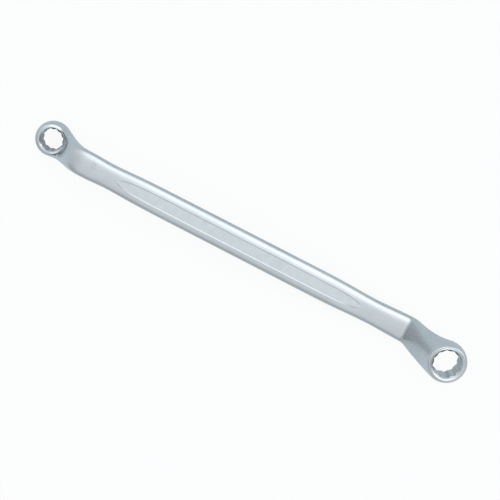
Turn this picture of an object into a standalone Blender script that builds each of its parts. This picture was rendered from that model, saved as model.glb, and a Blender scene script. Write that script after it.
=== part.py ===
"""Ring spanner, 8 mm and 9 mm: a double-ended 12-point spanner with deep cranked necks.

The forging is one coarse cage that runs from ring to ring and is smoothed by subdivision. It is then
machined as the real blank is: the working faces are milled, the bores are broached with two hexagons
turned by 30 degrees, every bore gets its lead-in on both sides, and both panels are sunk in the shank.
The spanner lies on the plane z = 0 on its small ring and on the knee below the large one, with its
length along X and its plane of symmetry at y = 0. All lengths are metres.
"""
import math
from collections import namedtuple

import bmesh
import bpy
from mathutils import Matrix, Vector

NAME = "ring_spanner"

# Sockets: nominal size across flats, and the play that the broach leaves.
SMALL_SOCKET_SIZE = 0.008
LARGE_SOCKET_SIZE = 0.009
SOCKET_CLEARANCE = 0.0001
SOCKET_SIDES = 6

# Rings: the wall is measured from the bore's flats. Both axes lean by RING_LEAN from square to the shank.
RING_SPACING = 0.1732
SMALL_RING_WALL = 0.00305
LARGE_RING_WALL = 0.00295
RING_HEIGHT = 0.0082
MILLING_STOCK = 0.0004
LEAD_IN_WIDTH = 0.0009
RING_LEAN = math.radians(10)
LEAD_IN_ANGLE = math.radians(45)

# Necks: how far each ring stands off the shank, and how far the knee lies inside the ring's middle.
SMALL_RING_OFFSET = 0.0156
LARGE_RING_OFFSET = 0.0184
SMALL_NECK_RUN = 0.0166
LARGE_NECK_RUN = 0.0145
NECK_THICKNESS = 0.0048
SMALL_NECK_WIDTH = 0.0113
LARGE_NECK_WIDTH = 0.0115
SMALL_KNEE_ROUNDING = 0.0060
LARGE_KNEE_ROUNDING = 0.0032

# Shank.
SHANK_WIDTH = 0.0109
SHANK_THICKNESS = 0.0047
SMALL_WAIST_WIDTH = 0.0096
LARGE_WAIST_WIDTH = 0.0094
WAIST_CLEARANCE = 0.0020
SMALL_KNEE_WIDTH = 0.0106
LARGE_KNEE_WIDTH = 0.0105

# Panels sunk in both faces of the shank. The margin lies between a tip and the large knee.
PANEL_MARGIN = 0.0191
PANEL_WIDTH = 0.0044
PANEL_DEPTH = 0.0004
PANEL_DRAFT = 0.00025
PANEL_TIP_POWER = 12
PANEL_STEPS = 28

# How far cutters run past what they cut, and how close corners are welded after a cut.
OVERRUN = 0.0020
WELD_REACH = 0.000004

# The cage of a ring has this many columns, and the neck takes the middle ones of one side.
RING_COLUMNS = 12
NECK_COLUMNS = 4
SMOOTHING_LEVELS = 2
ROUND_SIDES = 48
SHARP_EDGE = math.radians(32)

# Section of shank and neck: half width and half thickness at each cage point, top row then side.
# The points 1 to 3 of a row bound the flat of the face, and its edges are creased to keep it flat.
TOP_WIDTH_SHARES = (-0.78, -0.45, 0.0, 0.45, 0.78)
TOP_HEIGHT_SHARES = (0.80, 1.0, 1.0, 1.0, 0.80)
FLAT_FIRST_POINT = 1
FLAT_LAST_POINT = 3
FLAT_CREASE_SHARE = 1.0
SIDE_WIDTH_SHARE = 1.01
SIDE_HEIGHT_SHARE = 0.34

# Section of a ring, as shares of its radius and of its half height; working face first.
RING_RADIUS_SHARES = (0.42, 0.86, 0.985, 1.045, 1.06, 0.99, 0.70, 0.42)
RING_HEIGHT_SHARES = (1.00, 1.00, 0.86, 0.46, -0.10, -0.86, -1.00, -1.00)
NECK_FIRST_ROW = 3
NECK_LAST_ROW = 6

# Where a neck's middle line meets its ring: share of the radius, and of the height below the middle.
SMALL_ATTACH_SHARES = (0.60, 0.40)
LARGE_ATTACH_SHARES = (0.83, 0.13)

# The last section of a neck, as a share of the way from the end of the knee to the ring.
SMALL_NECK_PLACE_SHARE = 0.30
LARGE_NECK_PLACE_SHARE = 0.46

CHROME_COLOUR = (0.60, 0.617, 0.626, 1.0)
CHROME_ROUGHNESS = 0.32
CHROME_METALLIC = 1.0


def ring_radius(socket_size, wall):
    return (socket_size + SOCKET_CLEARANCE) / 2 + wall


def knee_place(neck_run):
    return RING_SPACING / 2 - neck_run


def panel_reach():
    """How far a panel's tips lie from the middle of the shank."""
    return knee_place(LARGE_NECK_RUN) - PANEL_MARGIN


End = namedtuple(
    "End",
    "name socket radius offset knee rounding waist_width knee_width neck_width attach_shares neck_place_share",
)
LARGE_END = End(
    "large",
    LARGE_SOCKET_SIZE + SOCKET_CLEARANCE,
    ring_radius(LARGE_SOCKET_SIZE, LARGE_RING_WALL),
    LARGE_RING_OFFSET,
    knee_place(LARGE_NECK_RUN),
    LARGE_KNEE_ROUNDING,
    LARGE_WAIST_WIDTH,
    LARGE_KNEE_WIDTH,
    LARGE_NECK_WIDTH,
    LARGE_ATTACH_SHARES,
    LARGE_NECK_PLACE_SHARE,
)
SMALL_END = End(
    "small",
    SMALL_SOCKET_SIZE + SOCKET_CLEARANCE,
    ring_radius(SMALL_SOCKET_SIZE, SMALL_RING_WALL),
    SMALL_RING_OFFSET,
    knee_place(SMALL_NECK_RUN),
    SMALL_KNEE_ROUNDING,
    SMALL_WAIST_WIDTH,
    SMALL_KNEE_WIDTH,
    SMALL_NECK_WIDTH,
    SMALL_ATTACH_SHARES,
    SMALL_NECK_PLACE_SHARE,
)


def clear_scene():
    for item in list(bpy.data.objects):
        bpy.data.objects.remove(item, do_unlink=True)


def make_collection(name):
    collection = bpy.data.collections.new(name)
    bpy.context.scene.collection.children.link(collection)
    return collection


def make_material(name):
    material = bpy.data.materials.new(name)
    material.use_nodes = True
    shader = material.node_tree.nodes["Principled BSDF"]
    shader.inputs["Base Color"].default_value = CHROME_COLOUR
    shader.inputs["Roughness"].default_value = CHROME_ROUGHNESS
    shader.inputs["Metallic"].default_value = CHROME_METALLIC
    return material


def ring_frame(offset):
    """Frame of a ring at the +X end: Z is the way the working face looks, -X is the neck's side."""
    place = Matrix.Translation((RING_SPACING / 2, 0, offset))
    return place @ Matrix.Rotation(RING_LEAN, 4, "Y")


def section_points(place, pitch, width, thickness):
    """Cage points round the shank or neck: top row, +Y side, bottom row, -Y side."""
    half_width = width / 2
    half_height = thickness / 2
    rows = list(zip(TOP_WIDTH_SHARES, TOP_HEIGHT_SHARES))
    outline = [(y * half_width, z * half_height) for y, z in rows]
    side = (SIDE_WIDTH_SHARE * half_width, SIDE_HEIGHT_SHARE * half_height)
    outline += [side, (side[0], -side[1])]
    outline += [(y * half_width, -z * half_height) for y, z in reversed(rows)]
    outline += [(-side[0], -side[1]), (-side[0], side[1])]
    turn = Matrix.Rotation(-pitch, 4, "Y")
    return [place + turn @ Vector((0, y, z)) for y, z in outline]


def ring_rows(end):
    """Cage rows round the ring's axis. Column 0 lies at one edge of the neck."""
    frame = ring_frame(end.offset)
    first_angle = math.pi - math.pi * NECK_COLUMNS / RING_COLUMNS
    rows = []
    for radius_share, height_share in zip(RING_RADIUS_SHARES, RING_HEIGHT_SHARES):
        height = height_share * RING_HEIGHT / 2
        if height_share == 1:
            height += MILLING_STOCK
        row = []
        for column in range(RING_COLUMNS):
            angle = first_angle + math.tau * column / RING_COLUMNS
            reach = radius_share * end.radius
            row.append(frame @ Vector((reach * math.cos(angle), reach * math.sin(angle), height)))
        rows.append(row)
    return rows


def neck_sections(end):
    """Sections from the middle of the shank to the ring, at the +X end."""
    frame = ring_frame(end.offset)
    radius_share, drop_share = end.attach_shares
    attach = frame @ Vector((-radius_share * end.radius, 0, -drop_share * RING_HEIGHT))
    corner = Vector((end.knee, 0, 0))
    pitch = math.atan2(attach.z, attach.x - end.knee)
    waist = panel_reach() + WAIST_CLEARANCE
    knee_start = end.knee - end.rounding
    before_knee = (waist + knee_start) / 2
    before_width = (end.waist_width + end.knee_width) / 2
    after_width = (end.knee_width + end.neck_width) / 2
    stations = [
        (Vector((panel_reach() / 2, 0, 0)), 0, SHANK_WIDTH, SHANK_THICKNESS),
        (Vector((panel_reach() - SHANK_WIDTH, 0, 0)), 0, SHANK_WIDTH, SHANK_THICKNESS),
        (Vector((waist, 0, 0)), 0, end.waist_width, SHANK_THICKNESS),
        (Vector((before_knee, 0, 0)), 0, before_width, SHANK_THICKNESS),
        (Vector((knee_start, 0, 0)), 0, end.knee_width, SHANK_THICKNESS),
        (corner, pitch / 2, end.knee_width, SHANK_THICKNESS / math.cos(pitch / 2)),
    ]
    knee_end = corner + end.rounding * (attach - corner).normalized()
    stations.append((knee_end, pitch, after_width, NECK_THICKNESS))
    last_place = knee_end.lerp(attach, end.neck_place_share)
    stations.append((last_place, pitch, end.neck_width, NECK_THICKNESS))
    return [section_points(*station) for station in stations]


def add_strip(mesh, first, second):
    """Quads between two closed loops of vertices."""
    count = len(first)
    for index in range(count):
        after = (index + 1) % count
        mesh.faces.new((first[index], first[after], second[after], second[index]))


def window_loop(rows):
    """The ring's vertices round the window that the neck leaves by, in the order of a section."""
    # Seen along the neck towards the ring, the columns run from +Y to -Y.
    top = [rows[NECK_FIRST_ROW][column] for column in range(NECK_COLUMNS, -1, -1)]
    bottom = [rows[NECK_LAST_ROW][column] for column in range(NECK_COLUMNS + 1)]
    middle = range(NECK_FIRST_ROW + 1, NECK_LAST_ROW)
    right = [rows[row][0] for row in middle]
    left = [rows[row][NECK_COLUMNS] for row in reversed(middle)]
    return top + right + bottom + left


def crease_flats(mesh, first, second):
    """Keeps the middle of both faces flat between two loops: the flats' borders are creased."""
    crease = mesh.edges.layers.float["crease_edge"]
    point_count = len(TOP_WIDTH_SHARES)
    bottom = point_count + (len(first) - 2 * point_count) // 2
    for point in (FLAT_FIRST_POINT, FLAT_LAST_POINT, bottom + FLAT_FIRST_POINT, bottom + FLAT_LAST_POINT):
        mesh.edges.get((first[point], second[point]))[crease] = FLAT_CREASE_SHARE


def add_end(mesh, end, turn):
    """One ring with its neck and half shank. Returns the loop nearest the middle."""
    rows = [[mesh.verts.new(turn @ point) for point in row] for row in ring_rows(end)]
    row_count = len(rows)
    for row in range(row_count):
        below = (row + 1) % row_count
        for column in range(RING_COLUMNS):
            beside = (column + 1) % RING_COLUMNS
            in_neck = NECK_FIRST_ROW <= row < NECK_LAST_ROW and column < NECK_COLUMNS
            if not in_neck:
                corners = (rows[row][column], rows[row][beside], rows[below][beside], rows[below][column])
                mesh.faces.new(corners)
    loops = [[mesh.verts.new(turn @ point) for point in section] for section in neck_sections(end)]
    loops.append(window_loop(rows))
    for first, second in zip(loops, loops[1:]):
        add_strip(mesh, first, second)
    for first, second in zip(loops[:-2], loops[1:-2]):
        crease_flats(mesh, first, second)
    return loops[0]


def forge_blank(collection):
    """The whole forging as one cage, smoothed by subdivision."""
    cage = bmesh.new()
    cage.edges.layers.float.new("crease_edge")
    large = add_end(cage, LARGE_END, Matrix.Identity(4))
    small = add_end(cage, SMALL_END, Matrix.Rotation(math.pi, 4, "Y"))
    # The small end is turned over, so its loop runs the other way and starts at its bottom row.
    bottom_end = len(small) - (len(small) - 2 * len(TOP_WIDTH_SHARES)) // 2
    small = [small[(bottom_end - 1 - step) % len(small)] for step in range(len(small))]
    add_strip(cage, small, large)
    crease_flats(cage, small, large)
    bmesh.ops.recalc_face_normals(cage, faces=cage.faces)
    data = bpy.data.meshes.new(NAME)
    cage.to_mesh(data)
    cage.free()
    blank = bpy.data.objects.new(NAME, data)
    collection.objects.link(blank)
    smooth = blank.modifiers.new("forging", "SUBSURF")
    smooth.levels = SMOOTHING_LEVELS
    smooth.render_levels = SMOOTHING_LEVELS
    return blank


def place_cutter(cutter, name, collection, frame):
    cutter.name = name
    cutter.data.name = name
    cutter.matrix_world = frame
    for holder in list(cutter.users_collection):
        holder.objects.unlink(cutter)
    collection.objects.link(cutter)
    cutter.hide_render = True
    cutter.display_type = "WIRE"
    return cutter


def bore_outline(across_flats):
    """Angle and radius round a 12-point bore: two hexagons, one turned to lie between the other's corners."""
    flat_reach = across_flats / 2
    half_side = math.pi / SOCKET_SIDES
    outline = []
    for step in range(ROUND_SIDES):
        angle = math.tau * step / ROUND_SIDES
        off_flat = (angle + half_side) % (2 * half_side) - half_side
        off_turned_flat = angle % (2 * half_side) - half_side
        reaches = (flat_reach / math.cos(off_flat), flat_reach / math.cos(off_turned_flat))
        outline.append((angle, max(reaches)))
    return outline


def add_bore_tool(name, collection, frame, across_flats):
    """The broached bore with a conical lead-in at both faces of the ring, as one closed tool."""
    outline = bore_outline(across_flats)
    widest = max(reach for angle, reach in outline)
    rim = widest + LEAD_IN_WIDTH / 2
    slope = math.tan(LEAD_IN_ANGLE)
    half_height = RING_HEIGHT / 2
    mouth = [(angle, rim + OVERRUN * slope, half_height + OVERRUN) for angle, reach in outline]
    throat = [(angle, reach, half_height - (rim - reach) / slope) for angle, reach in outline]
    back_throat = [(angle, reach, -height) for angle, reach, height in throat]
    back_mouth = [(angle, reach, -height) for angle, reach, height in mouth]
    tool = bmesh.new()
    loops = []
    for ring in (mouth, throat, back_throat, back_mouth):
        loops.append([tool.verts.new((r * math.cos(a), r * math.sin(a), z)) for a, r, z in ring])
    for first, second in zip(loops, loops[1:]):
        add_strip(tool, first, second)
    tool.faces.new(loops[0])
    tool.faces.new(loops[-1])
    bmesh.ops.recalc_face_normals(tool, faces=tool.faces)
    data = bpy.data.meshes.new(name)
    tool.to_mesh(data)
    tool.free()
    cutter = bpy.data.objects.new(name, data)
    collection.objects.link(cutter)
    return place_cutter(cutter, name, collection, frame)


def add_face_mill(name, collection, frame, radius):
    """A disc that takes the stock off the working face."""
    depth = OVERRUN + MILLING_STOCK
    bpy.ops.mesh.primitive_cylinder_add(vertices=ROUND_SIDES, radius=radius + OVERRUN, depth=depth)
    lift = Matrix.Translation((0, 0, RING_HEIGHT / 2 + depth / 2))
    return place_cutter(bpy.context.object, name, collection, frame @ lift)


def panel_outline():
    """A long lens: parallel in the middle, drawn to a point at both ends."""
    half_length = panel_reach()
    half_width = PANEL_WIDTH / 2
    upper = []
    for step in range(PANEL_STEPS + 1):
        angle = math.pi * step / PANEL_STEPS
        along = -math.cos(angle)
        upper.append((along * half_length, half_width * (1 - abs(along) ** PANEL_TIP_POWER)))
    lower = [(x, -y) for x, y in reversed(upper[1:-1])]
    return upper + lower


def add_panel_die(name, collection, side):
    """The die that sinks one panel: a lens with drafted walls and a flat floor."""
    die = bmesh.new()
    floor_height = SHANK_THICKNESS / 2 - PANEL_DEPTH
    top_height = SHANK_THICKNESS / 2 + OVERRUN
    slope = PANEL_DRAFT / PANEL_DEPTH
    outline = panel_outline()
    loops = []
    for height in (floor_height, top_height):
        widen = slope * (height - floor_height)
        scale = 1 + widen / (PANEL_WIDTH / 2)
        loops.append([die.verts.new((x, y * scale, height)) for x, y in outline])
    add_strip(die, loops[0], loops[1])
    die.faces.new(loops[0])
    die.faces.new(loops[1])
    bmesh.ops.recalc_face_normals(die, faces=die.faces)
    data = bpy.data.meshes.new(name)
    die.to_mesh(data)
    die.free()
    cutter = bpy.data.objects.new(name, data)
    collection.objects.link(cutter)
    flip = Matrix.Identity(4) if side > 0 else Matrix.Rotation(math.pi, 4, "X")
    return place_cutter(cutter, name, collection, flip)


def cut(target, cutter):
    step = target.modifiers.new(cutter.name, "BOOLEAN")
    step.operation = "DIFFERENCE"
    step.solver = "EXACT"
    step.object = cutter
    weld = target.modifiers.new(cutter.name + "_weld", "WELD")
    weld.merge_threshold = WELD_REACH


def machine(blank, cutters):
    """Mills, broaches and chamfers both rings, then sinks both panels."""
    frames = (
        (LARGE_END, ring_frame(LARGE_END.offset)),
        (SMALL_END, Matrix.Rotation(math.pi, 4, "Y") @ ring_frame(SMALL_END.offset)),
    )
    for end, frame in frames:
        cut(blank, add_face_mill(end.name + "_face_mill", cutters, frame, end.radius))
        cut(blank, add_bore_tool(end.name + "_bore_tool", cutters, frame, end.socket))
    cut(blank, add_panel_die("panel_die", cutters, 1))
    cut(blank, add_panel_die("back_panel_die", cutters, -1))


def finish_mesh(blank):
    """Reads the machined solid back as the object's own mesh."""
    graph = bpy.context.evaluated_depsgraph_get()
    data = bpy.data.meshes.new_from_object(blank.evaluated_get(graph))
    blank.modifiers.clear()
    blank.data = data
    data.name = NAME
    mesh = bmesh.new()
    mesh.from_mesh(data)
    bmesh.ops.dissolve_degenerate(mesh, edges=mesh.edges, dist=WELD_REACH)
    bmesh.ops.triangulate(mesh, faces=mesh.faces)
    mesh.to_mesh(data)
    mesh.free()


def rest_lean(data):
    """Angle that brings the spanner's two supports, on either side of its weight, to one level."""
    points = sorted((vertex.co.x, vertex.co.z) for vertex in data.vertices)
    lower = []
    for point in points:
        while len(lower) > 1 and cross(lower[-2], lower[-1], point) <= 0:
            lower.pop()
        lower.append(point)
    middle = balance_place(data)
    for left, right in zip(lower, lower[1:]):
        if left[0] <= middle <= right[0]:
            return math.atan2(right[1] - left[1], right[0] - left[0])
    return 0.0


def cross(first, second, third):
    run = (second[0] - first[0], second[1] - first[1])
    reach = (third[0] - first[0], third[1] - first[1])
    return run[0] * reach[1] - run[1] * reach[0]


def balance_place(data):
    """Place along X of the centre of mass."""
    weight = 0.0
    moment = 0.0
    for face in data.polygons:
        a, b, c = (data.vertices[index].co for index in face.vertices)
        volume = a.dot(b.cross(c))
        weight += volume
        moment += volume * (a.x + b.x + c.x) / 4
    return moment / weight


def lay_down(blank):
    """Lays the spanner on z = 0, centred over the origin."""
    blank.data.transform(Matrix.Rotation(rest_lean(blank.data), 4, "Y"))
    xs = [vertex.co.x for vertex in blank.data.vertices]
    lowest = min(vertex.co.z for vertex in blank.data.vertices)
    blank.data.transform(Matrix.Translation((-(min(xs) + max(xs)) / 2, 0, -lowest)))


def main():
    clear_scene()
    parts = make_collection("Ring spanner")
    cutters = make_collection("Cutters")
    blank = forge_blank(parts)
    machine(blank, cutters)
    finish_mesh(blank)
    lay_down(blank)
    blank.data.materials.clear()
    blank.data.materials.append(make_material("satin_chrome"))
    blank.data.shade_smooth()
    blank.data.set_sharp_from_angle(angle=SHARP_EDGE)


main()
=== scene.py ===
# %% [markdown]
# A ring spanner is one bar of steel. It is forged hot between two dies, its working faces are
# milled, its bores are broached, and the whole is plated with nickel and satin chrome. This lesson
# makes the same tool the same way: a coarse cage is drawn out of one loop of points, the rings are
# added, the cage is smoothed as a forging is, and only then is it cut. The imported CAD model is
# loaded first, because it fixes the size and the place of everything that follows.

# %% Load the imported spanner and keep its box
import math
from collections import namedtuple

import bmesh
import bpy
from mathutils import Matrix, Vector
from mathutils.geometry import intersect_point_line


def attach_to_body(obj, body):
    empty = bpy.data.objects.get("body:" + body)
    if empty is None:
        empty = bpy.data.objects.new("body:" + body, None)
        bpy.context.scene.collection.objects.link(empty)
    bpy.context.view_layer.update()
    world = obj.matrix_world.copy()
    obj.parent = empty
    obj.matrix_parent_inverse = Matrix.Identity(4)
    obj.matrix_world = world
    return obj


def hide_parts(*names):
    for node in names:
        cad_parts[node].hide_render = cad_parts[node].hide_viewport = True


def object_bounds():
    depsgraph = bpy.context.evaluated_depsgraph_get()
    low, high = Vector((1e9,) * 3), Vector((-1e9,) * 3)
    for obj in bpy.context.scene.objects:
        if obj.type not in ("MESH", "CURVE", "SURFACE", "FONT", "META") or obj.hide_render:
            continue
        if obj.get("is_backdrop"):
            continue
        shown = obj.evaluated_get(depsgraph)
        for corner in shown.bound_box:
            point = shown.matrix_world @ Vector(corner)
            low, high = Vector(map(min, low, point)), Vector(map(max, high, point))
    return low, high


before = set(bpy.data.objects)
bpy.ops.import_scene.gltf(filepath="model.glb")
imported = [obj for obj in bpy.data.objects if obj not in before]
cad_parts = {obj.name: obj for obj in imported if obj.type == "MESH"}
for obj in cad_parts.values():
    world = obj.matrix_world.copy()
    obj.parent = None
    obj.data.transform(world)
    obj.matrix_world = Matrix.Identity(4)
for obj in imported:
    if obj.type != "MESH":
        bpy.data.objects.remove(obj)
cad_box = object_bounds()
print("CAD nodes:", sorted(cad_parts))
print("CAD box in mm:", [tuple(round(c * 1000, 2) for c in corner) for corner in cad_box])

# %% [markdown]
# The spanner's sizes come before its shape. The bores are taken to be a usual pair, 8 mm and 9 mm.
# That is an assumption and it sets the whole scale, because the photograph shows proportions and
# not millimetres. It is easiest to model the shank level, along X, and to lay the finished tool
# down at the end, so all sizes are written in the shank's own frame, in metres. A ring stands off
# the shank by its neck, and both rings lean by 10 degrees, so that the hand clears the work. The
# last three numbers of an end say where its neck meets the ring: out from the ring's middle, down
# from it, and how far along the neck the last station stands.

# %% Sizes of the forging
RING_SPACING = 0.1732
RING_HEIGHT = 0.0082
MILLING_STOCK = 0.0004
RING_LEAN = math.radians(10)
SHANK_WIDTH, SHANK_THICKNESS = 0.0109, 0.0047
WAIST_CLEARANCE = 0.0020
NECK_THICKNESS = 0.0048
PANEL_REACH = 0.0530
REST_LEAN = math.radians(6.886555)
REST_SHIFT = Vector((-0.000353, 0, 0.0107765))
REST_PLACE = Matrix.Translation(REST_SHIFT) @ Matrix.Rotation(REST_LEAN, 4, "Y")

End = namedtuple(
    "End", "name side socket radius offset knee rounding waist_width knee_width neck_width attach"
)
LARGE = End(
    name="large", side=1, socket=0.0091, radius=0.0075, offset=0.0184, knee=0.0721,
    rounding=0.0032, waist_width=0.0094, knee_width=0.0105, neck_width=0.0115,
    attach=(0.83, 0.13, 0.46),
)
SMALL = End(
    name="small", side=-1, socket=0.0081, radius=0.0071, offset=0.0156, knee=0.0700,
    rounding=0.0060, waist_width=0.0096, knee_width=0.0106, neck_width=0.0113,
    attach=(0.60, 0.40, 0.30),
)
ENDS = (LARGE, SMALL)


def raised_place(end):
    """Place of a ring that stands above the +X end of the shank."""
    lean = Matrix.Rotation(RING_LEAN, 4, "Y")
    return Matrix.Translation((RING_SPACING / 2, 0, end.offset)) @ lean


def ring_frame(end):
    """Place of a ring: Z is the way its working face looks, and -X is the side of its neck."""
    place = raised_place(end)
    return place if end.side > 0 else Matrix.Rotation(math.pi, 4, "Y") @ place


for end in ENDS:
    bore, outside = end.socket * 1000, end.radius * 2000
    print(end.name, "ring: bore", bore, "mm across flats, outside", outside, "mm")

# %% [markdown]
# The camera comes next, so that every later step can be seen as the photograph shows it. It stands
# almost straight above the shank, some 40 cm away, turned so that the spanner runs from the upper
# left to the lower right. Its place was fitted to the outlines of both rings, both bores and the
# shank: it leans 11.6 degrees to one side of the shank, the upper one in the picture, and 4.5
# degrees to the end with the large ring, which is why the inside of that ring shows and the small
# ring looks foreshortened.

# %% Camera at the photograph's place
VIEW_ROLL = math.radians(-27.245)
VIEW_TILT = math.radians(11.626)
VIEW_LEAN = math.radians(4.469)
VIEW_SHIFT = Vector((-0.004378, 0.002745, -0.395056))
FOCAL_PIXELS = 1042.721
IMAGE_PIXELS = 500
SENSOR = 36.0
NEAREST_SEEN = 0.01


def photo_view():
    """Matrix that puts a camera where the photograph was taken from, in the shank's frame."""
    lean = Matrix.Rotation(VIEW_LEAN, 4, "Y").inverted()
    seen = Matrix.Rotation(VIEW_ROLL, 4, "Z") @ lean @ Matrix.Rotation(VIEW_TILT, 4, "X")
    return (Matrix.Translation(VIEW_SHIFT) @ seen).inverted()


bpy.ops.object.select_all(action="DESELECT")
bpy.ops.object.camera_add()
camera = bpy.context.object
camera.name = "photo_camera"
camera.matrix_world = REST_PLACE @ photo_view()
camera.data.sensor_width = SENSOR
camera.data.lens = FOCAL_PIXELS / IMAGE_PIXELS * SENSOR
camera.data.clip_start = NEAREST_SEEN
bpy.context.scene.camera = camera
print("Camera lens", round(camera.data.lens, 1), "mm, height", round(camera.location.z, 3), "m")

# %% [markdown]
# Modelling by hand goes on in edit mode, where an operator acts on what is selected. A person
# picks points with the mouse, and a script picks them by their place. These few helpers do the
# picking, turn and stretch what is picked about a given point, and hold the short moves that every
# tool needs. Without a window the rotate operator turns the other way and ignores the pivot, so
# the angle is negated and the centre is always given.

# %% Helpers for working in edit mode
WELD = 0.000002


def pick(kind, test):
    """Selects the vertices, edges or faces in edit mode that pass the test, and counts them."""
    bpy.ops.mesh.select_mode(type=kind)
    bpy.ops.mesh.select_all(action="DESELECT")
    cage = bmesh.from_edit_mesh(bpy.context.object.data)
    items = {"VERT": cage.verts, "EDGE": cage.edges, "FACE": cage.faces}[kind]
    chosen = [item for item in items if test(item)]
    for item in chosen:
        item.select_set(True)
    cage.select_flush_mode()
    bmesh.update_edit_mesh(bpy.context.object.data)
    return len(chosen)


def turn(angle, axis, centre):
    bpy.ops.transform.rotate(
        value=-angle, orient_axis=axis, orient_type="GLOBAL", center_override=centre
    )


def stretch(factors, centre):
    bpy.ops.transform.resize(value=factors, center_override=centre)


def pick_piece(piece):
    """Selects one piece and nothing else."""
    bpy.ops.object.select_all(action="DESELECT")
    bpy.context.view_layer.objects.active = piece
    piece.select_set(True)


def edit(piece):
    pick_piece(piece)
    bpy.ops.object.mode_set(mode="EDIT")


def leave_edit():
    bpy.ops.object.mode_set(mode="OBJECT")
    return bpy.context.object


def apply_place():
    bpy.ops.object.transform_apply(location=True, rotation=True, scale=True)


def weld_all():
    bpy.ops.mesh.select_all(action="SELECT")
    bpy.ops.mesh.remove_doubles(threshold=WELD)


def face_outward():
    bpy.ops.mesh.select_all(action="SELECT")
    bpy.ops.mesh.normals_make_consistent(inside=False)


def start_circle(name, sides, radius, place, rotation=(0, 0, 0), fill="NOTHING"):
    """A new piece that is one circle so far, open in edit mode."""
    bpy.ops.object.select_all(action="DESELECT")
    bpy.ops.mesh.primitive_circle_add(
        vertices=sides, radius=radius, fill_type=fill, location=place, rotation=rotation
    )
    circle = bpy.context.object
    circle.name = name
    apply_place()
    edit(circle)
    return circle


def draw_profile(profile):
    """Extrudes the circle from height to height and stretches it in proportion to the radii."""
    bpy.ops.mesh.select_all(action="SELECT")
    for (radius, height), (next_radius, next_height) in zip(profile, profile[1:]):
        rise = (0, 0, next_height - height)
        bpy.ops.mesh.extrude_edges_move(TRANSFORM_OT_translate={"value": rise})
        stretch((next_radius / radius, next_radius / radius, 1), (0, 0, 0))


def open_edges(piece):
    """How many edges don't lie between exactly two faces. A closed piece has none."""
    shell = bmesh.new()
    shell.from_mesh(piece.data)
    count = sum(len(edge.link_faces) != 2 for edge in shell.edges)
    shell.free()
    return count


def report(title, piece):
    print(title, len(piece.data.polygons), "faces, open edges", open_edges(piece))


print("Points closer than", WELD * 1000, "mm are merged after each cut")

# %% [markdown]
# The shank's section is flat above and below, with well rounded shoulders and short upright sides
# where the dies met. It could be lofted from drawn curves, but a forging is easier to steer from a
# cage: a circle of 14 points is stretched into that section, four points at a time, because the
# section is the same in all four quarters. Subdivision rounds it later.

# %% Section of the shank as a loop of 14 points
SECTION_POINTS = 14
SECTION_SHARES = ((0.45, 0.985), (0.78, 0.80), (1.01, 0.34))
FIRST_PLACE = PANEL_REACH / 2

spanner = start_circle(
    "spanner_forging", SECTION_POINTS, SHANK_THICKNESS / 2, (FIRST_PLACE, 0, 0),
    rotation=(math.pi / 2, 0, math.pi / 2),
)
for step, (width_share, height_share) in enumerate(SECTION_SHARES, start=1):
    angle = math.pi / 2 - math.tau * step / SECTION_POINTS
    height = math.sin(angle) * SHANK_THICKNESS / 2
    pick("VERT", lambda point: abs(abs(point.co.z) - height) < height / 100)
    widen = width_share * SHANK_WIDTH / SHANK_THICKNESS / math.cos(angle)
    stretch((1, widen, height_share / math.sin(angle)), (FIRST_PLACE, 0, 0))
spanner = leave_edit()
print("Section in mm:", tuple(round(side * 1000, 2) for side in spanner.dimensions))

# %% [markdown]
# From its first section the bar is drawn out to both ends. Each extrusion is one station along the
# bar's middle line: the waist behind the panel, the knee in three steps so that the bend stays
# round, and the neck, which rises steeply by the large ring and more gently by the small one. The
# bar stays about 4.8 mm thick all along, as a forging does, and its width follows the photograph.

# %% Stations along the bar
LOOP_REACH = 0.0001
Station = namedtuple("Station", "place pitch width thickness")


def stations(end):
    """The bar's stations from the middle of the shank to the last one before the ring."""
    radius_share, drop_share, last_share = end.attach
    to_neck = Vector((-radius_share * end.radius, 0, -drop_share * RING_HEIGHT))
    attach = raised_place(end) @ to_neck
    corner = Vector((end.knee, 0, 0))
    pitch = math.atan2(attach.z, attach.x - end.knee)
    waist, knee_start = PANEL_REACH + WAIST_CLEARANCE, end.knee - end.rounding
    knee_end = corner + end.rounding * (attach - corner).normalized()
    levels = (
        (PANEL_REACH / 2, SHANK_WIDTH),
        (PANEL_REACH - SHANK_WIDTH, SHANK_WIDTH),
        (waist, end.waist_width),
        ((waist + knee_start) / 2, (end.waist_width + end.knee_width) / 2),
        (knee_start, end.knee_width),
    )
    knee_thickness = SHANK_THICKNESS / math.cos(pitch / 2)
    neck_start_width = (end.knee_width + end.neck_width) / 2
    last_place = knee_end.lerp(attach, last_share)
    route = [Station(Vector((along, 0, 0)), 0, width, SHANK_THICKNESS) for along, width in levels]
    route.append(Station(corner, pitch / 2, end.knee_width, knee_thickness))
    route.append(Station(knee_end, pitch, neck_start_width, NECK_THICKNESS))
    route.append(Station(last_place, pitch, end.neck_width, NECK_THICKNESS))
    flip = Matrix.Scale(end.side, 3, (1, 0, 0)) @ Matrix.Scale(end.side, 3, (0, 0, 1))
    return [station._replace(place=flip @ station.place) for station in route]


def draw_out(here, there):
    """Extrudes the selected loop from one station to the next, upright while it is stretched."""
    move = there.place - here.place
    bpy.ops.mesh.extrude_edges_move(TRANSFORM_OT_translate={"value": move})
    if here.pitch:
        turn(here.pitch, "Y", there.place)
    stretch((1, there.width / here.width, there.thickness / here.thickness), there.place)
    if there.pitch:
        turn(-there.pitch, "Y", there.place)


edit(spanner)
start = stations(LARGE)[0]
for end in ENDS:
    route = stations(end)
    here = start
    pick("VERT", lambda point: abs(point.co.x - FIRST_PLACE) < LOOP_REACH)
    for there in route if end.side < 0 else route[1:]:
        draw_out(here, there)
        here = there
spanner = leave_edit()
length = round(spanner.dimensions.x * 1000, 1)
print("Bar:", len(spanner.data.polygons), "faces,", length, "mm from neck to neck")

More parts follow.
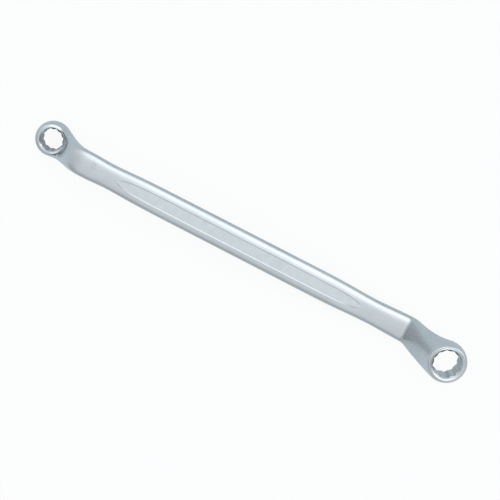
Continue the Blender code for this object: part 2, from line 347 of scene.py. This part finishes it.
# %% [markdown]
# A ring is forged as a thick, round-cornered washer. It starts as a circle of 12 points at the
# mouth of its bore and goes once round its own section, eight loops in all, the first and the last
# joined at the bore. Its working face stands 0.4 mm too high on purpose: that stock is milled away
# later, which leaves the real tool's flat face with a crisp outer edge. The neck needs a way in,
# so the twelve faces that look at it are deleted.

# %% Both rings
RING_COLUMNS = 12
RING_RADII = (0.42, 0.86, 0.985, 1.045, 1.06, 0.99, 0.70, 0.42)
RING_LEVELS = (1.00, 1.00, 0.86, 0.46, -0.10, -0.86, -1.00, -1.00)
WINDOW_RADIUS, WINDOW_LEVEL, WINDOW_ANGLE = 0.7, 0.46, math.pi / 3


def level_of(share):
    return share * RING_HEIGHT / 2 + (MILLING_STOCK if share == 1 else 0)


def faces_neck(face, end):
    centre = face.calc_center_median()
    if centre.xy.length < WINDOW_RADIUS * end.radius or centre.z > WINDOW_LEVEL * RING_HEIGHT / 2:
        return False
    return centre.x < 0 and abs(centre.y) < -centre.x * math.tan(WINDOW_ANGLE)


def forge_ring(end):
    profile = [(share, level_of(level)) for share, level in zip(RING_RADII, RING_LEVELS)]
    ring = start_circle(
        end.name + "_ring", RING_COLUMNS, RING_RADII[0] * end.radius, (0, 0, level_of(1))
    )
    draw_profile(profile)
    pick("EDGE", lambda edge: edge.is_boundary)
    bpy.ops.mesh.bridge_edge_loops()
    window = pick("FACE", lambda face: faces_neck(face, end))
    bpy.ops.mesh.delete(type="FACE")
    ring = leave_edit()
    ring.matrix_world = ring_frame(end)
    apply_place()
    print(ring.name, "has", len(ring.data.polygons), "faces, with a window of", window)
    return ring


rings = [forge_ring(end) for end in ENDS]

# %% [markdown]
# Bar and rings become one cage: they are joined, and each neck is bridged to the window of its
# ring. Both loops have 14 points, so the bridge runs straight across. Real forgings have no edge
# that hasn't a radius, and Subdivision Surface gives just that. A weak crease along the shank's
# flat keeps its border readable, as the polishing belt leaves it.

# %% One forging, bridged and smoothed
FLAT_CREASE = 0.12
FLAT_REACH = 0.00002
SMOOTHING_LEVELS = 3

bpy.ops.object.select_all(action="DESELECT")
for piece in [*rings, spanner]:
    piece.select_set(True)
bpy.context.view_layer.objects.active = spanner
bpy.ops.object.join()
edit(spanner)
for end in ENDS:
    rims = pick("EDGE", lambda edge: edge.is_boundary and edge.verts[0].co.x * end.side > 0)
    bpy.ops.mesh.bridge_edge_loops()
    print(end.name, "neck bridged over", rims, "edges")
face_outward()


def borders_flat(edge):
    """True for the lengthwise edges of the shank beside the middle of its faces."""
    first, second = (point.co for point in edge.verts)
    flat_level = SECTION_SHARES[0][1] * SHANK_THICKNESS / 2
    at_border = all(
        abs(place.x) < LARGE.knee - LARGE.rounding / 2
        and abs(abs(place.z) - flat_level) < FLAT_REACH
        for place in (first, second)
    )
    return at_border and first.y * second.y > 0


creased = pick("EDGE", borders_flat)
bpy.ops.transform.edge_crease(value=FLAT_CREASE)
spanner = leave_edit()
print("Creased edges:", creased, "open edges:", open_edges(spanner))
bpy.ops.object.modifier_add(type="SUBSURF")
smoothing = spanner.modifiers[-1]
smoothing.levels = smoothing.render_levels = SMOOTHING_LEVELS
bpy.ops.object.modifier_apply(modifier=smoothing.name)
print("Forging:", len(spanner.data.polygons), "faces")
print("Box in mm:", [round(side * 1000, 2) for side in spanner.dimensions])

# %% [markdown]
# The machining tools come next. All of them are turned shapes, so one helper turns them: a circle
# is extruded from height to height and stretched to the radius there, as a profile on a lathe. The
# face mill and its countersink are one tool, flat near its edge and a 45 degree cone in the
# middle. Between the two lies the round that polishing leaves, an arc of short steps on the tool.
# The back is countersunk too. Its tool has a gentle slope at the bore's rim, and turns steep
# beyond it, so that it leaves the neck whole. That profile is a list of short runs outwards and
# the slope of each.

# %% Face mills and countersinks
ROUND_SIDES = 96
OVERRUN = 0.0020
LEAD_IN = 0.0009
CONE_DEPTH = 0.0015
FACE_ROUND = 0.0012
ARC_STEPS = 8
BACK_SLOPES = (
    (0.00125, 1.0), (0.0001, 0.85), (0.0001, 0.70), (0.0001, 0.58), (0.0001, 0.52), (0.0001, 0.58),
    (0.0001, 0.75), (0.0001, 1.0), (0.0001, 1.35), (0.0001, 1.8), (0.0002, 2.5), (0.0003, 5.0),
)


def rim_radius(end):
    return end.socket / 2 / math.cos(math.pi / 6) + LEAD_IN / 2


def turned_tool(name, profile):
    """A closed round tool from a list of (radius, height), written from its tip outwards."""
    radius, height = profile[0]
    start_circle(name, ROUND_SIDES, radius, (0, 0, height), fill="NGON")
    draw_profile(profile)
    bpy.ops.mesh.edge_face_add()
    face_outward()
    return leave_edit()


def front_profile(end):
    """Profile for the working face: a 45 degree cone, then an arc that ends level."""
    rim, level = rim_radius(end), RING_HEIGHT / 2
    reach = FACE_ROUND * math.tan(math.pi / 8)
    profile = [(rim - CONE_DEPTH, level - CONE_DEPTH)]
    for step in range(ARC_STEPS + 1):
        angle = math.pi / 4 * (1 - step / ARC_STEPS)
        radius = rim + reach - FACE_ROUND * math.sin(angle)
        profile.append((radius, level - FACE_ROUND * (1 - math.cos(angle))))
    return profile


def back_profile(end):
    """Profile for the back, upside down: a cone, a gentle slope at the rim, and a steep side."""
    rim, level = rim_radius(end), RING_HEIGHT / 2
    profile = [(rim - CONE_DEPTH, level - CONE_DEPTH)]
    for run, slope in BACK_SLOPES:
        radius, height = profile[-1]
        profile.append((radius + run, height + run * slope))
    return profile


def face_mill(end):
    """The tool that mills a working face and opens the bore with a cone."""
    level, wide = RING_HEIGHT / 2, end.radius + OVERRUN
    body = [(wide, level), (wide, level + OVERRUN)]
    return turned_tool(end.name + "_face_mill", front_profile(end) + body)


def back_countersink(end):
    """The tool that opens the bore at the back of a ring."""
    tool = turned_tool(end.name + "_back_countersink", back_profile(end))
    edit(tool)
    bpy.ops.mesh.select_all(action="SELECT")
    turn(math.pi, "X", (0, 0, 0))
    return leave_edit()


tools = {end.name: [face_mill(end), back_countersink(end)] for end in ENDS}
for tool in tools["large"] + tools["small"]:
    report(tool.name + ":", tool)

# %% [markdown]
# A 12-point bore is two hexagons, one turned by 30 degrees, so that the spanner can be set on a
# bolt every 30 degrees. Its outline is a star: a circle of 24 points with every second one pulled
# out to the hexagons' corners. The broach that cuts it is that star made long. Its 24 edges get a
# tiny bevel, since no broach leaves a knife edge.

# %% Broaches for the 12-point bores
STAR_POINTS = 24
BROACH_ROUND = 0.00007
BROACH_SEGMENTS = 2


def broach(end):
    step = math.tau / STAR_POINTS
    inner_radius = end.socket / 2 / math.cos(step)
    start_circle(
        end.name + "_broach", STAR_POINTS, inner_radius, (0, 0, -RING_HEIGHT), fill="NGON"
    )
    pick("VERT", lambda point: round(math.atan2(point.co.y, point.co.x) / step) % 2 == 0)
    pull = math.cos(step) / math.cos(math.pi / 6)
    stretch((pull, pull, 1), (0, 0, 0))
    bpy.ops.mesh.select_all(action="SELECT")
    bpy.ops.mesh.extrude_region_move(TRANSFORM_OT_translate={"value": (0, 0, 2 * RING_HEIGHT)})
    face_outward()
    pick("EDGE", lambda edge: abs(edge.verts[0].co.z - edge.verts[1].co.z) > RING_HEIGHT)
    bpy.ops.mesh.bevel(offset=BROACH_ROUND, segments=BROACH_SEGMENTS, affect="EDGES")
    return leave_edit()


for end in ENDS:
    tools[end.name].append(broach(end))
    report(end.name + " broach:", tools[end.name][-1])

# %% [markdown]
# Both faces of the shank have a long sunken panel, drawn to a point at each end. The die that
# presses it starts as a narrow grid. Each pair of points across it is squeezed to the width of the
# lens there, the tips are closed, and the sheet is drawn up into a block that widens by the draft
# which every die has, so that it leaves the hot steel again. The second die is a copy with its own
# mesh, turned over.

# %% Dies for the two panels
PANEL_WIDTH, PANEL_DEPTH, PANEL_DRAFT = 0.0041, 0.00025, 0.00043
PANEL_TIP_POWER = 12
PANEL_TIP_SHARE = 0.01
PANEL_STEPS = 56
COLUMN_REACH = 0.00001


def lens_width(along):
    """Share of the full width at a place along the panel, from -1 to 1."""
    return max(1 - abs(along) ** PANEL_TIP_POWER, PANEL_TIP_SHARE)


bpy.ops.object.select_all(action="DESELECT")
floor_level = SHANK_THICKNESS / 2 - PANEL_DEPTH
bpy.ops.mesh.primitive_grid_add(
    x_subdivisions=PANEL_STEPS, y_subdivisions=1, size=1, location=(0, 0, floor_level),
)
panel_die = bpy.context.object
panel_die.name = "panel_die"
panel_die.scale = (2 * PANEL_REACH, PANEL_WIDTH, 1)
apply_place()
edit(panel_die)
columns = sorted({round(point.co.x, 7) for point in bmesh.from_edit_mesh(panel_die.data).verts})
for step, along in enumerate(columns):
    pick("VERT", lambda point: abs(point.co.x - along) < COLUMN_REACH)
    place = -math.cos(math.pi * step / (len(columns) - 1))
    bpy.ops.transform.translate(value=(place * PANEL_REACH - along, 0, 0))
    stretch((1, lens_width(place), 1), (0, 0, floor_level))
bpy.ops.mesh.select_all(action="SELECT")
die_height = PANEL_DEPTH + OVERRUN
bpy.ops.mesh.extrude_region_move(TRANSFORM_OT_translate={"value": (0, 0, die_height)})
draft = 1 + PANEL_DRAFT / PANEL_DEPTH * die_height / (PANEL_WIDTH / 2)
stretch((1, draft, 1), (0, 0, 0))
face_outward()
panel_die = leave_edit()
bpy.ops.object.duplicate()
back_panel_die = bpy.context.object
back_panel_die.name = "back_panel_die"
back_panel_die.rotation_euler = (math.pi, 0, 0)
apply_place()
report("Panel die:", panel_die)

# %% [markdown]
# Now the forging is machined. Each tool is set in the frame of its ring and taken away from the
# steel by a Boolean modifier, which is applied at once. The exact solver is used, because a face
# mill lies almost in the plane of what it cuts. After each cut the points that fall together are
# merged.

# %% Milling, broaching and pressing
def cut_with(tool, operation="DIFFERENCE"):
    """Applies one tool to the forging and throws the tool away."""
    pick_piece(spanner)
    bpy.ops.object.modifier_add(type="BOOLEAN")
    cut = spanner.modifiers[-1]
    cut.operation, cut.solver, cut.object = operation, "EXACT", tool
    bpy.ops.object.modifier_apply(modifier=cut.name)
    bpy.data.objects.remove(tool, do_unlink=True)
    edit(spanner)
    weld_all()
    leave_edit()


for end in ENDS:
    for tool in tools[end.name]:
        tool.matrix_world = ring_frame(end)
        cut_with(tool)
    report(end.name + " ring machined:", spanner)
for tool in (panel_die, back_panel_die):
    cut_with(tool)
report("Panels pressed:", spanner)

# %% [markdown]
# The sizes stand beside the knees as small raised figures, as on most ring spanners: 8 on the
# upper face by the small ring, and 9 on the lower face by the large one. They are plain figures
# pressed in the die, so they are text made into a mesh, with a bevelled edge, and united with the
# forging. A figure fills 0.7 of the type size, and its foot is sunk a little so that it joins the
# steel.

# %% Raised size figures
FIGURE_HEIGHT = 0.0026
FIGURE_SHARE = 0.7
FIGURE_RISE = 0.0002
FIGURE_SINK = 0.00003
FIGURE_STEPS = 5
FIGURE_PLACE = (-0.0626, 0.0011)


def size_figure(figure, end):
    bpy.ops.object.select_all(action="DESELECT")
    bpy.ops.object.text_add(location=(0, 0, 0))
    text = bpy.context.object
    text.name = "size_figure_" + figure
    text.data.body = figure
    text.data.size = FIGURE_HEIGHT / FIGURE_SHARE
    text.data.extrude = FIGURE_RISE
    text.data.bevel_depth = FIGURE_RISE / 3
    text.data.align_x, text.data.align_y = "CENTER", "CENTER"
    text.data.resolution_u = FIGURE_STEPS
    bpy.ops.object.convert(target="MESH")
    edit(bpy.context.object)
    weld_all()
    face_outward()
    text = leave_edit()
    place = Matrix.Translation((*FIGURE_PLACE, SHANK_THICKNESS / 2 - FIGURE_SINK))
    text.matrix_world = place if end is SMALL else Matrix.Rotation(math.pi, 4, "Y") @ place
    return text


for figure, end in (("8", SMALL), ("9", LARGE)):
    text = size_figure(figure, end)
    print(text.name, "in mm:", [round(side * 1000, 2) for side in text.dimensions])
    report(text.name + ":", text)
    cut_with(text, "UNION")
report("Spanner:", spanner)

# %% [markdown]
# Chrome shows every change of the surface, so the finishes are told apart as on the real tool. The
# forged skin is satin all over, the milled faces keep fine turning marks, and so do the
# countersinks, where the plating is thinner and greyer and the darker tint is also painted shade in
# the recess. The bores keep the broach's drag lines, and the panels keep the die's matt ground. Each
# finish is one material slot, and the faces for it are picked by their place and by the way they
# look.

# %% Which faces have which finish
CUTS = ("turned", "countersunk", "broached")
FINISHES = ["satin_forging", "matt_panel"] + [cut + "_" + end.name for end in ENDS for cut in CUTS]
ON_PROFILE = 0.000008
ON_LEVEL = 0.00001
PAST_END = 0.01
LOOKS_ALONG = 0.99
LOOKS_ACROSS = 0.3
FACE_REACH = 1.1


def in_panel(face):
    centre = face.calc_center_median()
    deep = abs(abs(centre.z) - SHANK_THICKNESS / 2 + PANEL_DEPTH) < ON_LEVEL
    return deep and abs(centre.y) < PANEL_WIDTH / 2 and abs(face.normal.z) > LOOKS_ALONG


def seen_from_ring(face, end):
    """Radius and height of a face in its ring's frame, and how far it looks along the axis."""
    to_ring = ring_frame(end).inverted()
    centre = to_ring @ face.calc_center_median()
    normal = to_ring.to_3x3() @ face.normal
    return centre.xy.length, centre.z, normal.z


def is_turned(face, end):
    radius, height, along = seen_from_ring(face, end)
    level = abs(height - RING_HEIGHT / 2) < ON_LEVEL and along > LOOKS_ALONG
    return level and radius < end.radius * FACE_REACH


def is_countersunk(face, end):
    """True for the faces that lie on the cone or the round of one of the ring's two tools."""
    radius, height, along = seen_from_ring(face, end)
    profile = front_profile(end) if height > 0 else back_profile(end)
    place = Vector((radius, abs(height), 0))
    for start, stop in zip(profile, profile[1:]):
        nearest, share = intersect_point_line(place, (*start, 0), (*stop, 0))
        between = -PAST_END < share < 1 + PAST_END
        if between and (nearest - place).length < ON_PROFILE and abs(along) > LOOKS_ACROSS:
            return True
    return False


def is_broached(face, end):
    radius, height, along = seen_from_ring(face, end)
    inside = radius < rim_radius(end) and abs(height) < RING_HEIGHT / 2
    return inside and abs(along) < LOOKS_ACROSS


tests = dict(zip(CUTS, (is_turned, is_countersunk, is_broached)))
pick_piece(spanner)
for finish in FINISHES:
    bpy.ops.object.material_slot_add()
    spanner.material_slots[-1].material = bpy.data.materials.new(finish)
    edit(spanner)
    if finish == "satin_forging":
        found = pick("FACE", lambda face: True)
    elif finish == "matt_panel":
        found = pick("FACE", in_panel)
    else:
        cut, name = finish.split("_")
        end = LARGE if name == "large" else SMALL
        found = pick("FACE", lambda face: tests[cut](face, end))
    spanner.active_material_index = len(spanner.material_slots) - 1
    bpy.ops.object.material_slot_assign()
    leave_edit()
    print(finish, "on", found, "faces")

# %% [markdown]
# The finished tool is shaded smooth, except where a cut made an edge, and laid down. On a table a
# spanner of this form rests on its small ring and on the knee below the large one, so its shank
# slopes by almost 7 degrees. The turn and the move go into the mesh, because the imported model
# keeps its objects at the origin too. A finer mesh reaches a few thousandths of a millimetre
# further than the coarser packed one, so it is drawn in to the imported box.

# %% Shade it and lay it down
SHARP_EDGE = math.radians(22)


def box_of(piece):
    """The lowest and the highest corner of the box round a piece."""
    places = [point.co for point in piece.data.vertices]
    return [[side(place[axis] for place in places) for axis in range(3)] for side in (min, max)]


bpy.ops.object.shade_smooth_by_angle(angle=SHARP_EDGE)
spanner.matrix_world = REST_PLACE
apply_place()
own_low, own_high = box_of(spanner)
cad_low, cad_high = cad_box
fit = [min(1, (cad_high[a] - cad_low[a]) / (own_high[a] - own_low[a])) for a in range(3)]
spanner.scale = fit
spanner.location = [
    (cad_low[a] + cad_high[a] - fit[a] * (own_low[a] + own_high[a])) / 2 for a in range(3)
]
apply_place()
low, high = ([round(c * 1000, 2) for c in corner] for corner in box_of(spanner))
print("Drawn in to the packed box by", [round((1 - share) * 100, 3) for share in fit], "percent")
print("Laid down, from", low, "to", high, "mm")

# %% [markdown]
# The finishes are built from nodes, and most of their steps repeat. They could be wired one by one
# in the shader editor. Here each step has a helper, so that a finish reads as a short recipe: a
# noise, a spread of it, a tint of the chrome's bluish light grey, a bump. Most noise stays between
# 0.3 and 0.7, so it is spread from there. Colours go into the mix through its sockets 6 and 7,
# since three kinds of sockets have the same names there.

# %% Helpers for node materials
CHROME = (0.583, 0.617, 0.641, 1.0)
NOISE_LOW, NOISE_HIGH = 0.3, 0.7
MIX_SHARE, MIX_DARK, MIX_BRIGHT, MIX_COLOUR = 0, 6, 7, 2


def add_node(tree, kind, values=None, **settings):
    made = tree.nodes.new("ShaderNode" + kind)
    for name, value in settings.items():
        setattr(made, name, value)
    for name, value in (values or {}).items():
        made.inputs[name].default_value = value
    return made


def wire(tree, source, output, target, socket):
    tree.links.new(source.outputs[output], target.inputs[socket])


def start_chrome(name):
    """A chrome material with its shader and its Object coordinates."""
    material = bpy.data.materials[name]
    material.use_nodes = True
    tree = material.node_tree
    shader = tree.nodes["Principled BSDF"]
    shader.inputs["Metallic"].default_value = 1.0
    return tree, shader, add_node(tree, "TexCoord")


def noise(tree, source, output, scale, detail, roughness=0.5):
    made = add_node(tree, "TexNoise", {"Scale": scale, "Detail": detail, "Roughness": roughness})
    wire(tree, source, output, made, "Vector")
    return made


def spread(tree, source, low, high, output="Fac"):
    """Noise spread from a low to a high value."""
    remap = add_node(tree, "MapRange", {
        "From Min": NOISE_LOW, "From Max": NOISE_HIGH, "To Min": low, "To Max": high,
    })
    wire(tree, source, output, remap, "Value")
    return remap


def tint(tree, source, output, shader, dark, bright):
    """Chrome from a darker to a brighter share of its colour."""
    blend = add_node(tree, "Mix", data_type="RGBA")
    for socket, level in ((MIX_DARK, dark), (MIX_BRIGHT, bright)):
        blend.inputs[socket].default_value = (*(min(c * level, 1) for c in CHROME[:3]), 1)
    wire(tree, source, output, blend, MIX_SHARE)
    wire(tree, blend, MIX_COLOUR, shader, "Base Color")


def vary(tree, source, shader, tints, roughnesses):
    """One noise varies both how bright and how rough the chrome is."""
    tint(tree, spread(tree, source, 0.0, 1.0), "Result", shader, *tints)
    wire(tree, spread(tree, source, *roughnesses), "Result", shader, "Roughness")


def raise_bump(tree, height, output, distance, strength, below=None):
    bump = add_node(tree, "Bump", {"Strength": strength, "Distance": distance})
    wire(tree, height, output, bump, "Height")
    if below:
        wire(tree, below, "Normal", bump, "Normal")
    return bump


print("Chrome is", CHROME[:3])

# %% [markdown]
# Satin chrome is metal through and through: a bluish light grey, polished before plating, so a
# little rough. The forged skin is a shade duller than the milled faces, and its polish isn't even.
# Under it lies the dies' fine orange peel, along it run faint belt lines, and the plating is
# brighter and smoother where edges were rubbed. All of it comes from noise on Object coordinates,
# which stay with the spanner, and the belt lines are noise drawn out along it.

# %% Satin chrome on the forging
BELT_DRAW = (40, 1500, 1500)
BELT_BUMP, BELT_STRENGTH = 0.000006, 0.35
PEEL_SCALE = 750.0
PEEL_BUMP, PEEL_STRENGTH = 0.00002, 0.5
PLATING_SCALE = 70.0
RUBBED = {"From Min": 0.53, "From Max": 0.60}
RUBBED_BRIGHTER, RUBBED_SMOOTHER = 0.5, -0.06
FORGING_TINTS, FORGING_ROUGHNESS = (0.88, 0.99), (0.25, 0.34)

tree, shader, coordinates = start_chrome("satin_forging")
along_shank = add_node(tree, "Mapping", {"Rotation": (0, REST_LEAN, 0)}, vector_type="TEXTURE")
wire(tree, coordinates, "Object", along_shank, "Vector")
belt_place = add_node(tree, "Mapping", {"Scale": BELT_DRAW})
wire(tree, along_shank, "Vector", belt_place, "Vector")
belt_lines = noise(tree, belt_place, "Vector", 1.0, 3.0, 0.6)
orange_peel = noise(tree, coordinates, "Object", PEEL_SCALE, 2.0)
plating = noise(tree, coordinates, "Object", PLATING_SCALE, 4.0, 0.55)
rubbed_edges = add_node(tree, "MapRange", RUBBED)
wire(tree, add_node(tree, "NewGeometry"), "Pointiness", rubbed_edges, "Value")
brighter = add_node(tree, "Math", {1: RUBBED_BRIGHTER}, operation="MULTIPLY_ADD")
wire(tree, rubbed_edges, "Result", brighter, 0)
wire(tree, spread(tree, plating, 0.0, 0.8), "Result", brighter, 2)
tint(tree, brighter, "Value", shader, *FORGING_TINTS)
smoother = add_node(tree, "Math", {1: RUBBED_SMOOTHER}, operation="MULTIPLY_ADD")
wire(tree, rubbed_edges, "Result", smoother, 0)
wire(tree, spread(tree, belt_lines, *FORGING_ROUGHNESS), "Result", smoother, 2)
wire(tree, smoother, "Value", shader, "Roughness")
peel = raise_bump(tree, orange_peel, "Fac", PEEL_BUMP, PEEL_STRENGTH)
lines = raise_bump(tree, belt_lines, "Fac", BELT_BUMP, BELT_STRENGTH, below=peel)
wire(tree, lines, "Normal", shader, "Normal")
print("Satin forging:", len(tree.nodes), "nodes")

# %% [markdown]
# The ground of a panel is left as the die pressed it and the bead blast cleaned it, so it is
# duller than the polished steel round it. A blast leaves small round dents side by side, which the
# cells of a Voronoi texture give better than noise would. The noise beside it varies the colour
# and the gloss.

# %% Matt ground of the panels
STIPPLE_SCALE = 2600.0
STIPPLE_BUMP, STIPPLE_STRENGTH = 0.00004, 0.45
BLAST_SCALE = 420.0
PANEL_TINTS, PANEL_ROUGHNESS = (0.93, 1.03), (0.36, 0.46)

tree, shader, coordinates = start_chrome("matt_panel")
stipple = add_node(
    tree, "TexVoronoi", {"Scale": STIPPLE_SCALE, "Randomness": 1.0}, feature="SMOOTH_F1"
)
wire(tree, coordinates, "Object", stipple, "Vector")
blast = noise(tree, coordinates, "Object", BLAST_SCALE, 5.0, 0.6)
vary(tree, blast, shader, PANEL_TINTS, PANEL_ROUGHNESS)
ground = raise_bump(tree, stipple, "Distance", STIPPLE_BUMP, STIPPLE_STRENGTH)
wire(tree, ground, "Normal", shader, "Normal")
print("Matt panel:", len(tree.nodes), "nodes")

# %% [markdown]
# A milled face has rings round the bore's axis, one for each turn of the cutter, a tenth of a
# millimetre apart, and a countersink has them too. A Mapping node moves the pattern into the
# ring's own frame, where the ring wave of Z gives just those circles. In the bore the same frame
# lets noise be drawn out along the axis, as the broach drags.

# %% Turned faces, countersinks and broached bores
RING_MARK = 0.00011
WAVE_LENGTH = math.tau / 20
MARK_BUMP = 0.000004
DRAG_DRAW = (2600, 2600, 90)
DRAG_BUMP, DRAG_STRENGTH = 0.000012, 0.5
BROACHED_TINTS, BROACHED_ROUGHNESS = (0.82, 0.98), (0.30, 0.44)

Cut = namedtuple("Cut", "wobble haze_scale tints roughness mark_strength")
ROUND_CUTS = {
    "turned": Cut(0.8, 500.0, (0.98, 1.06), (0.19, 0.28), 0.5),
    # The countersinks' darker tints are painted shade in the recess, as well as thinner plating.
    "countersunk": Cut(1.2, 420.0, (0.84, 0.95), (0.14, 0.22), 0.4),
}


def ring_coordinates(tree, coordinates, end):
    """Object coordinates seen from one ring: its axis is Z and its middle is the origin."""
    seat = REST_PLACE @ ring_frame(end)
    values = {"Location": seat.translation, "Rotation": seat.to_euler()}
    place = add_node(tree, "Mapping", values, vector_type="TEXTURE")
    wire(tree, coordinates, "Object", place, "Vector")
    return place


def finish_round_cut(name, end):
    cut = ROUND_CUTS[name]
    tree, shader, coordinates = start_chrome(name + "_" + end.name)
    place = ring_coordinates(tree, coordinates, end)
    values = {"Scale": WAVE_LENGTH / RING_MARK, "Distortion": cut.wobble, "Detail": 2.0}
    marks = add_node(tree, "TexWave", values, wave_type="RINGS", rings_direction="Z")
    wire(tree, place, "Vector", marks, "Vector")
    haze = noise(tree, place, "Vector", cut.haze_scale, 4.0)
    vary(tree, haze, shader, cut.tints, cut.roughness)
    cutter_marks = raise_bump(tree, marks, "Fac", MARK_BUMP, cut.mark_strength)
    wire(tree, cutter_marks, "Normal", shader, "Normal")
    return len(tree.nodes)


def finish_broached(end):
    tree, shader, coordinates = start_chrome("broached_" + end.name)
    place = ring_coordinates(tree, coordinates, end)
    drawn = add_node(tree, "Mapping", {"Scale": DRAG_DRAW})
    wire(tree, place, "Vector", drawn, "Vector")
    drag = noise(tree, drawn, "Vector", 1.0, 4.0, 0.65)
    vary(tree, drag, shader, BROACHED_TINTS, BROACHED_ROUGHNESS)
    drag_lines = raise_bump(tree, drag, "Fac", DRAG_BUMP, DRAG_STRENGTH)
    wire(tree, drag_lines, "Normal", shader, "Normal")
    return len(tree.nodes)


for end in ENDS:
    counts = [finish_round_cut(name, end) for name in ROUND_CUTS] + [finish_broached(end)]
    print(end.name, "ring: nodes turned, countersunk and broached", counts)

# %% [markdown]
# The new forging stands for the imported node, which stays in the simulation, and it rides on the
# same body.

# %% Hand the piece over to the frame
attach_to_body(spanner, "root")
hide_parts("ring_spanner")
faces = len(spanner.data.polygons)
print(spanner.name, "rides on root and replaces ring_spanner,", faces, "faces")

# %% [markdown]
# The photograph has a pure white ground. Here it is one wide sheet of pale paper. Most of what the
# camera sees of it is plain white, at strength 1, and the rest is paper lit by the tent, so that
# it keeps the spanner's soft shadow. The metal sees mostly the lit paper, which is a faintly blue
# grey: both necks lean over it and mirror it, and that gives them their colour in the photograph.

# %% Floor
FLOOR_SIZE = 40.0
PAPER = (0.64, 0.69, 0.72, 1)
WHITE_SHARES = {"Is Camera Ray": 0.91, "Is Glossy Ray": 0.10, "Is Transmission Ray": 0.91}

bpy.ops.object.select_all(action="DESELECT")
bpy.ops.mesh.primitive_plane_add(size=FLOOR_SIZE)
floor = bpy.context.object
floor.name = "floor"
floor.data.materials.append(bpy.data.materials.new("pale_floor"))
floor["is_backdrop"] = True
floor.data.materials[0].use_nodes = True
tree = floor.data.materials[0].node_tree
tree.nodes.clear()
paper = add_node(tree, "BsdfDiffuse", {"Color": PAPER})
white = add_node(tree, "Emission", {"Color": (1, 1, 1, 1), "Strength": 1.0})
seen = add_node(tree, "LightPath")
share = None
for ray, white_share in WHITE_SHARES.items():
    own_white = add_node(tree, "Math", {1: white_share}, operation="MULTIPLY")
    wire(tree, seen, ray, own_white, 0)
    if share:
        most = add_node(tree, "Math", operation="MAXIMUM")
        wire(tree, share, "Value", most, 0)
        wire(tree, own_white, "Value", most, 1)
        own_white = most
    share = own_white
ground_mix = add_node(tree, "MixShader")
wire(tree, share, "Value", ground_mix, 0)
wire(tree, paper, "BSDF", ground_mix, 1)
wire(tree, white, "Emission", ground_mix, 2)
wire(tree, ground_mix, "Shader", add_node(tree, "OutputMaterial"), "Surface")
print("Floor:", FLOOR_SIZE, "m square")

# %% [markdown]
# Metal shows nothing but its room, so the room is the light. A small chrome tool is photographed
# in a tent of white cloth, lit from outside: the cloth is even all round, and brighter where a
# lamp stands behind it. In the photograph the shank's far shoulder is bright and its near side
# dark, so three broad lamps stand on the far side, one is overhead and three weak ones fill. A low
# lamp at the right lights the rim of the small ring's countersink, and a narrow one at the near
# right lights the round of the large ring's. Each is a soft lobe in the world: how far a direction
# agrees with the lamp's, raised to a power that sets how narrow it glows. The numbers are azimuth,
# height, power and strength.

# %% Light tent
TENT_COLOUR, TENT_LIGHT = (0.953, 0.99, 1.008, 1), 0.39
LAMPS_BEHIND_CLOTH = {
    "overhead": (0, 90, 6, 0.56),
    "far right": (48, 42, 6, 0.90),
    "far middle": (88, 50, 10, 1.02),
    "far left": (135, 40, 6, 0.64),
    "near fill": (270, 45, 6, 0.52),
    "left fill": (180, 14, 6, 0.45),
    "low right": (42, 15, 16, 1.9),
    "near left": (215, 45, 16, 0.2),
    "near right": (318, 27, 30, 2.6),
}

tent = bpy.data.worlds.new("light_tent")
bpy.context.scene.world = tent
tent.use_nodes = True
tree = tent.node_tree
cloth = tree.nodes["Background"]
cloth.inputs["Color"].default_value = TENT_COLOUR
direction = add_node(tree, "TexCoord")
glow = None
for name, (azimuth, elevation, narrowness, strength) in LAMPS_BEHIND_CLOTH.items():
    azimuth, elevation = math.radians(azimuth), math.radians(elevation)
    level = math.cos(elevation)
    lamp = (level * math.cos(azimuth), level * math.sin(azimuth), math.sin(elevation))
    agreement = add_node(tree, "VectorMath", {1: lamp}, operation="DOT_PRODUCT")
    wire(tree, direction, "Generated", agreement, 0)
    facing = add_node(tree, "Math", {1: 0.0}, operation="MAXIMUM")
    wire(tree, agreement, "Value", facing, 0)
    lobe = add_node(tree, "Math", {1: narrowness}, operation="POWER")
    wire(tree, facing, "Value", lobe, 0)
    lit = add_node(tree, "Math", {1: strength, 2: TENT_LIGHT}, operation="MULTIPLY_ADD")
    wire(tree, lobe, "Value", lit, 0)
    if glow:
        wire(tree, glow, "Value", lit, 2)
    glow = lit
    print(name, "lamp looks from", [round(c, 2) for c in lamp], "at strength", strength)
wire(tree, glow, "Value", cloth, "Strength")
bpy.context.scene.view_settings.view_transform = "Standard"

# %% [markdown]
# The visual model has to stay in the box of the imported one, so both boxes are written down side by
# side.

# %% Print both boxes
visual_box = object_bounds()
boxes = {
    "cad": [list(corner) for corner in cad_box],
    "visual": [list(corner) for corner in visual_box],
}
for name, corners in boxes.items():
    print(name, "box in mm:", [[round(c * 1000, 2) for c in corner] for corner in corners])
